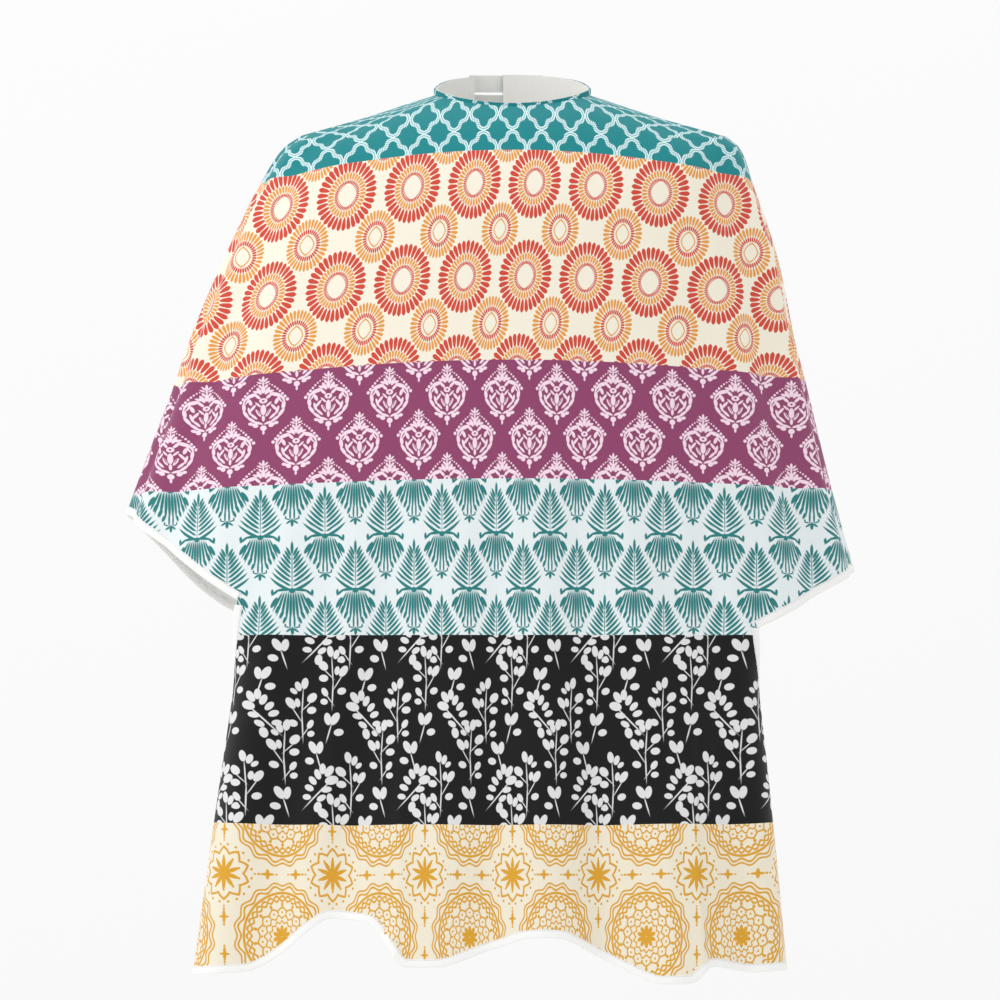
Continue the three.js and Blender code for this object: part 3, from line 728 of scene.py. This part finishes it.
def mandalas(x, y):
    pitch, drop = 74.6, 108.5
    sx, sy = repeat(x, pitch) * 1.45, repeat(y, drop, -681.6)
    r, a = length(sx, sy), maths("ARCTAN2", sx, sy)
    points = zigzag(a * (10 / (2 * math.pi)))
    sun = least(
        r - 10.5 + points * 5.2, abs(r - 20.2 + points * 2.6) - 1.05,
        petals(sx, sy, 20, 25.2, 1.1, 0.95, 0.1, 0.5), petals(sx, sy, 10, 14.6, 0.9, 0.75, 0.1))
    mx, my = repeat(x, pitch, pitch / 2) * 1.5, repeat(y, drop, -681.6 - drop / 2)
    r, a = length(mx, my), maths("ARCTAN2", mx, my)
    lace = least(
        petals(mx, my, 10, 5.4, 4.8, 1.6, 0.2), wavy(r, a, 12.8, 1.0, 14, 0.65),
        wavy(r, a, 17.6, 1.4, 14, 0.7, 3.14), petals(mx, my, 28, 21.4, 1.0, 0.75, 0.1),
        wavy(r, a, 24.4, 1.2, 14, 0.65), wavy(r, a, 33.4, 2.3, 16, 0.85),
        wavy(r, a, 33.4, 2.3, 16, 0.85, 3.14), abs(r - 38.2) - 0.9,
        wavy(r, a, 42.4, 1.7, 16, 0.75, 3.14), wavy(r, a, 45.9, 1.5, 16, 0.6, 3.14),
        petals(mx, my, 14, 28.2, 1.9, 1.1, 0.2))
    qx, qy = mirrored(x, pitch), abs(repeat(y, drop, -681.6))
    spark = blobs(qx, qy, [
        (27, 0, 1.1, 3.8, 0), (27, 0, 3.8, 1.05, 0), (21.6, 0, 0.8, 0.8, 0), (19.2, 0, 0.6, 0.6, 0),
        (33, 0, 0.6, 0.6, 0), (0, 38, 2.5, 0.9, 0), (0, 38, 0.8, 5.0, 0), (0, 31, 0.5, 0.7, 0),
        (0, 28.6, 0.4, 0.6, 0), (0, 45, 0.5, 0.7, 0)])
    return [(inside(least(sun, lace, spark) - 0.22, 0.4), (216, 158, 34))]


def noise(tree, scale, detail=2.0, vector=None):
    node = tree.nodes.new("ShaderNodeTexNoise")
    node.inputs["Scale"].default_value = scale
    node.inputs["Detail"].default_value = detail
    if vector is not None:
        tree.links.new(vector, node.inputs["Vector"])
    return Field(tree, node.outputs["Fac"])


def mix(tree, amount, low, high):
    node = tree.nodes.new("ShaderNodeMix")
    node.data_type = "RGBA"
    tree.links.new(amount.socket, node.inputs["Factor"])
    for socket, value in ((node.inputs["A"], low), (node.inputs["B"], high)):
        if isinstance(value, bpy.types.NodeSocket):
            tree.links.new(value, socket)
        else:
            socket.default_value = (*value, 1)
    return node.outputs["Result"]


def cloth_place(tree):
    """Where a point lies on the flat cloth, in metres."""
    uv = tree.nodes.new("ShaderNodeUVMap")
    uv.uv_map = "cloth"
    return uv.outputs[0]


def band_place(tree):
    """Where a point lies on the neckband laid flat, in metres."""
    place = tree.nodes.new("ShaderNodeTexCoord")
    apart = tree.nodes.new("ShaderNodeSeparateXYZ")
    tree.links.new(place.outputs["Object"], apart.inputs[0])
    across, ahead, up = (Field(tree, apart.outputs[k]) for k in range(3))
    turn = maths("ARCTAN2", across, -1 * ahead) * 0.066
    flat = tree.nodes.new("ShaderNodeCombineXYZ")
    for socket, value in zip(flat.inputs, (turn, up, length(across, ahead))):
        tree.links.new(value.socket, socket)
    return flat.outputs[0]


def woven(name, ground, draw=None, rough=0.78, ground_shade=0.94, place=cloth_place):
    """Light woven polyester, with an optional print over its ground colour."""
    material = bpy.data.materials.new(name)
    material.use_nodes = True
    tree = material.node_tree
    shader = tree.nodes["Principled BSDF"]
    flat = place(tree)
    apart = tree.nodes.new("ShaderNodeSeparateXYZ")
    tree.links.new(flat, apart.inputs[0])
    x, y = Field(tree, apart.outputs[0]) * 1000, Field(tree, apart.outputs[1]) * 1000

    cloud = noise(tree, 9.0, 3.0, flat)
    slub = noise(tree, 900.0, 1.0, flat)
    ground = linear(ground)
    shade = tuple(c * ground_shade for c in ground)
    colour = mix(tree, cloud * 0.7 + slub * 0.3, shade, ground)
    if draw:
        px, py = x / CROWDING, y
        faded = maths("MULTIPLY_ADD", slub, 0.12, 0.92, clamp=True)
        for mask, ink in draw(px, py):
            colour = mix(tree, mask * faded, colour, linear(ink))
    tree.links.new(colour, shader.inputs["Base Color"])

    threads = 2 * math.pi / 0.9
    warp, weft = maths("SINE", x * threads), maths("SINE", y * threads)
    weave = warp * weft * 0.5 + slub
    bump = tree.nodes.new("ShaderNodeBump")
    bump.inputs["Strength"].default_value = 0.12
    bump.inputs["Distance"].default_value = 0.0002
    tree.links.new(weave.socket, bump.inputs["Height"])
    crumple = tree.nodes.new("ShaderNodeBump")
    crumple.inputs["Strength"].default_value = 0.25
    crumple.inputs["Distance"].default_value = 0.002
    tree.links.new(noise(tree, 22.0, 2.0, flat).socket, crumple.inputs["Height"])
    tree.links.new(crumple.outputs[0], bump.inputs["Normal"])
    tree.links.new(bump.outputs[0], shader.inputs["Normal"])
    tree.links.new((cloud * 0.12 + (rough - 0.06)).socket, shader.inputs["Roughness"])
    shader.inputs["Specular IOR Level"].default_value = 0.25
    shader.inputs["Sheen Weight"].default_value = 0.08
    shader.inputs["Sheen Roughness"].default_value = 0.5
    return material


def stitched(name, ground):
    """A folded hem: plain cloth with a row of small stitches near its inner edge."""
    material = woven(name, ground, rough=0.85)
    tree = material.node_tree
    apart = tree.nodes.new("ShaderNodeSeparateXYZ")
    tree.links.new(cloth_place(tree), apart.inputs[0])
    x, y = Field(tree, apart.outputs[0]) * 1000, Field(tree, apart.outputs[1]) * 1000
    across = least(abs(y - STITCH_AT), abs(y - (HEM_GIRTH - STITCH_AT)))
    along = abs(repeat(x, STITCH_PITCH)) - STITCH_PITCH * 0.36
    stitch = inside(most(along, across - 0.28), 0.2)
    shader = tree.nodes["Principled BSDF"]
    colour = shader.inputs["Base Color"].links[0].from_socket
    darker = mix(tree, stitch * 0.35, colour, linear((168, 168, 164)))
    tree.links.new(darker, shader.inputs["Base Color"])
    bump = tree.nodes.new("ShaderNodeBump")
    bump.inputs["Strength"].default_value = 0.6
    bump.inputs["Distance"].default_value = 0.0004
    tree.links.new((stitch - inside(across - 0.9, 0.8) * 0.7).socket, bump.inputs["Height"])
    tree.links.new(shader.inputs["Normal"].links[0].from_socket, bump.inputs["Normal"])
    tree.links.new(bump.outputs[0], shader.inputs["Normal"])
    return material


def nickel(name):
    """Pressed, plated snap metal with fine scuffs."""
    material = bpy.data.materials.new(name)
    material.use_nodes = True
    tree = material.node_tree
    shader = tree.nodes["Principled BSDF"]
    place = tree.nodes.new("ShaderNodeTexCoord").outputs["Object"]
    haze, scuff = noise(tree, 180.0, 4.0, place), noise(tree, 2400.0, 2.0, place)
    metal = mix(tree, haze, (0.50, 0.49, 0.47), (0.70, 0.69, 0.66))
    tree.links.new(metal, shader.inputs["Base Color"])
    shader.inputs["Metallic"].default_value = 1.0
    tree.links.new((haze * 0.2 + scuff * 0.12 + 0.16).socket, shader.inputs["Roughness"])
    bump = tree.nodes.new("ShaderNodeBump")
    bump.inputs["Strength"].default_value = 0.15
    bump.inputs["Distance"].default_value = 0.00005
    tree.links.new(scuff.socket, bump.inputs["Height"])
    tree.links.new(bump.outputs[0], shader.inputs["Normal"])
    return material


def studio(name):
    material = bpy.data.materials.new(name)
    material.use_nodes = True
    tree = material.node_tree
    shader = tree.nodes["Principled BSDF"]
    place = tree.nodes.new("ShaderNodeTexCoord").outputs["Object"]
    tree.links.new(mix(tree, noise(tree, 0.8, 2.0, place), (0.86, 0.86, 0.85), (0.9, 0.9, 0.9)),
                   shader.inputs["Base Color"])
    shader.inputs["Roughness"].default_value = 0.95
    return material


STITCH_AT, STITCH_PITCH, HEM_GIRTH = 7.0, 3.0, 17.7
PRINTED = [
    woven("print_trellis", (18, 134, 139), trellis),
    woven("print_medallions", (246, 239, 221), medallions),
    woven("print_damask", (144, 68, 107), damask),
    woven("print_palmettes", (231, 239, 241), palmettes),
    woven("print_sprigs", (17, 17, 18), sprigs),
    woven("print_mandalas", (239, 231, 210), mandalas),
    woven("cloth_inside", (242, 242, 240)),
]
HEM = stitched("hem", (247, 247, 245))
BAND_PRINT = woven("band_print", (18, 134, 139), trellis, place=band_place)
BAND_LINING = woven("band_lining", (240, 239, 235), place=band_place)
BAND_FELT = woven("band_stiffener", (226, 224, 216), rough=0.92, place=band_place)
NICKEL = nickel("snap_nickel")
FLOOR = studio("floor")
WORLD_LEVEL, WORLD_LEAN, WORLD_FROM = 0.88, 0.5, (-0.24, 0.16, 0.7)
LIGHTS = [("key", (-2.3, -1.5, 1.2), 0.8, 13)]

# ---------------------------------------------------------------------------
# The pieces of cloth and their hems
# ---------------------------------------------------------------------------


def column_of(angle):
    return int(np.argmin(np.abs(ANGLES - angle)))


def bottom(first, last, row):
    """Edge points, inward and outward directions along one row of the cloth."""
    i = np.arange(first, last + 1)
    return cloth[i, row], cloth[i, row - 1] - cloth[i, row], normals[i, row]


def fold_points(side):
    """A point on the folding line of a back corner, and the direction across it to the slit."""
    joint = next(j for j in frame["joints"] if j["name"] == f"{side}_corner_fold")
    at = np.array(joint["pos_m"], float)
    sign = -1 if side == "left" else 1
    line = np.array([FLAP_FOOT[0] - FLAP_TOP[0], 0, FLAP_FOOT[1] - FLAP_TOP[1]])
    line /= np.linalg.norm(line)
    across = np.array([-sign * -line[2], 0, -line[0]])
    return at, across


HALF = {"left": -1, "right": 1}
FRONT_LEFT, FRONT_RIGHT = column_of(-FRONT_ARC), column_of(FRONT_ARC)
BACK_LEFT, BACK_RIGHT = column_of(-BACK_START), column_of(BACK_START)

main = cloth_sheet("cape_front_and_shoulders", BACK_LEFT, BACK_RIGHT, PRINTED, print_u)
backs = {
    "left": cloth_sheet("cape_back_left", 0, BACK_LEFT, PRINTED, print_u - print_u[0]),
    "right": cloth_sheet(
        "cape_back_right", BACK_RIGHT, COLUMNS - 1, PRINTED, print_u - print_u[-1]),
}
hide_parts("front_panel", "left_shoulder_panel", "right_shoulder_panel")
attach(main, "cape")

hem_front = binding("hem_front", *bottom(FRONT_LEFT, FRONT_RIGHT, LONG - 1), HEM, ["front_hem"])
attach(hem_front, "cape")
for side, sign in HALF.items():
    ends = sorted([column_of(sign * FRONT_ARC), column_of(sign * BACK_START)])
    sleeve = binding(f"hem_sleeve_{side}", *bottom(*ends, SHORT - 1), HEM, [f"{side}_sleeve_hem"])
    i = column_of(sign * FRONT_ARC)
    rows = np.arange(SHORT, LONG)
    upright = binding(
        f"hem_front_edge_{side}", cloth[i, rows], cloth[i - sign, rows] - cloth[i, rows],
        normals[i, rows], HEM, [f"{side}_front_edge"])
    for piece in (sleeve, upright):
        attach(piece, "cape")

for side, sign in HALF.items():
    piece = backs[side]
    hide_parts(f"{side}_back_panel", f"{side}_back_flap")
    ends = (0, BACK_LEFT) if sign < 0 else (BACK_RIGHT, COLUMNS - 1)
    hem = binding(f"hem_back_{side}", *bottom(*ends, SHORT - 1), HEM,
                  [f"{side}_back_hem", f"{side}_flap_hem"])
    at, across = fold_points(side)
    for obj in (piece, hem):
        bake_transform(obj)

# ---------------------------------------------------------------------------
# The neckband, its closing tab and its snaps keep the frame's own solids
# ---------------------------------------------------------------------------

FINISH = {
    "neckband_outer": BAND_PRINT, "closing_tab": BAND_PRINT, "tab_fold": BAND_LINING,
    "neckband_lining": BAND_LINING, "closing_tab_lining": BAND_LINING,
    "neckband_stiffener": BAND_FELT}
for name, node in frame["nodes"].items():
    finish = NICKEL if name.startswith("snap_") else FINISH.get(name)
    if finish:
        for slot in node.material_slots:
            slot.material = finish

# ---------------------------------------------------------------------------
# Floor, light and camera
# ---------------------------------------------------------------------------


def floor():
    """A round, pale floor well below the hem."""
    turns = np.linspace(0, 2 * math.pi, 97)[:-1]
    rings = [0.4, 1.2, 2.4, 4.0]
    points = [(0, 0, FLOOR_Z)]
    points += [(r * math.cos(a), r * math.sin(a), FLOOR_Z) for r in rings for a in turns]
    n = len(turns)
    faces = [[0, 1 + k, 1 + (k + 1) % n] for k in range(n)]
    for ring in range(len(rings) - 1):
        low, high = 1 + ring * n, 1 + (ring + 1) * n
        faces += [[low + k, high + k, high + (k + 1) % n, low + (k + 1) % n] for k in range(n)]
    mesh = bpy.data.meshes.new("floor")
    mesh.from_pydata(points, [], faces)
    mesh.materials.append(FLOOR)
    obj = bpy.data.objects.new("floor", mesh)
    bpy.context.scene.collection.objects.link(obj)
    return obj


FLOOR_Z = -1.45
CAMERA_AT, CAMERA_LENS = (-0.011, -10.1, -0.354), 409.0
floor()

world = bpy.data.worlds.new("studio")
bpy.context.scene.world = world
world.use_nodes = True
tree = world.node_tree
way = tree.nodes.new("ShaderNodeTexCoord").outputs["Generated"]
facing = tree.nodes.new("ShaderNodeVectorMath")
facing.operation = "DOT_PRODUCT"
tree.links.new(way, facing.inputs[0])
facing.inputs[1].default_value = WORLD_FROM
level = Field(tree, facing.outputs["Value"]) * WORLD_LEAN + WORLD_LEVEL
tree.nodes["Background"].inputs["Color"].default_value = (1, 1, 1, 1)
tree.links.new(level.socket, tree.nodes["Background"].inputs["Strength"])

for name, place, size, power in LIGHTS:
    lamp = bpy.data.lights.new(name, "AREA")
    lamp.shape, lamp.size, lamp.energy = "DISK", size, power
    light = bpy.data.objects.new(name, lamp)
    light.location = place
    aim = np.array([0, 0, -0.4]) - np.array(place)
    tilt = math.atan2(math.hypot(aim[0], aim[1]), -aim[2])
    light.rotation_euler = (tilt, 0, math.atan2(aim[1], aim[0]) - math.pi / 2)
    bpy.context.scene.collection.objects.link(light)

lens = bpy.data.cameras.new("camera")
lens.lens, lens.sensor_width = CAMERA_LENS, 36
lens.clip_end = 60
camera = bpy.data.objects.new("camera", lens)
camera.location = CAMERA_AT
camera.rotation_euler = (math.pi / 2, 0, 0)
bpy.context.scene.collection.objects.link(camera)
bpy.context.scene.camera = camera
bpy.context.scene.view_settings.view_transform = "Standard"
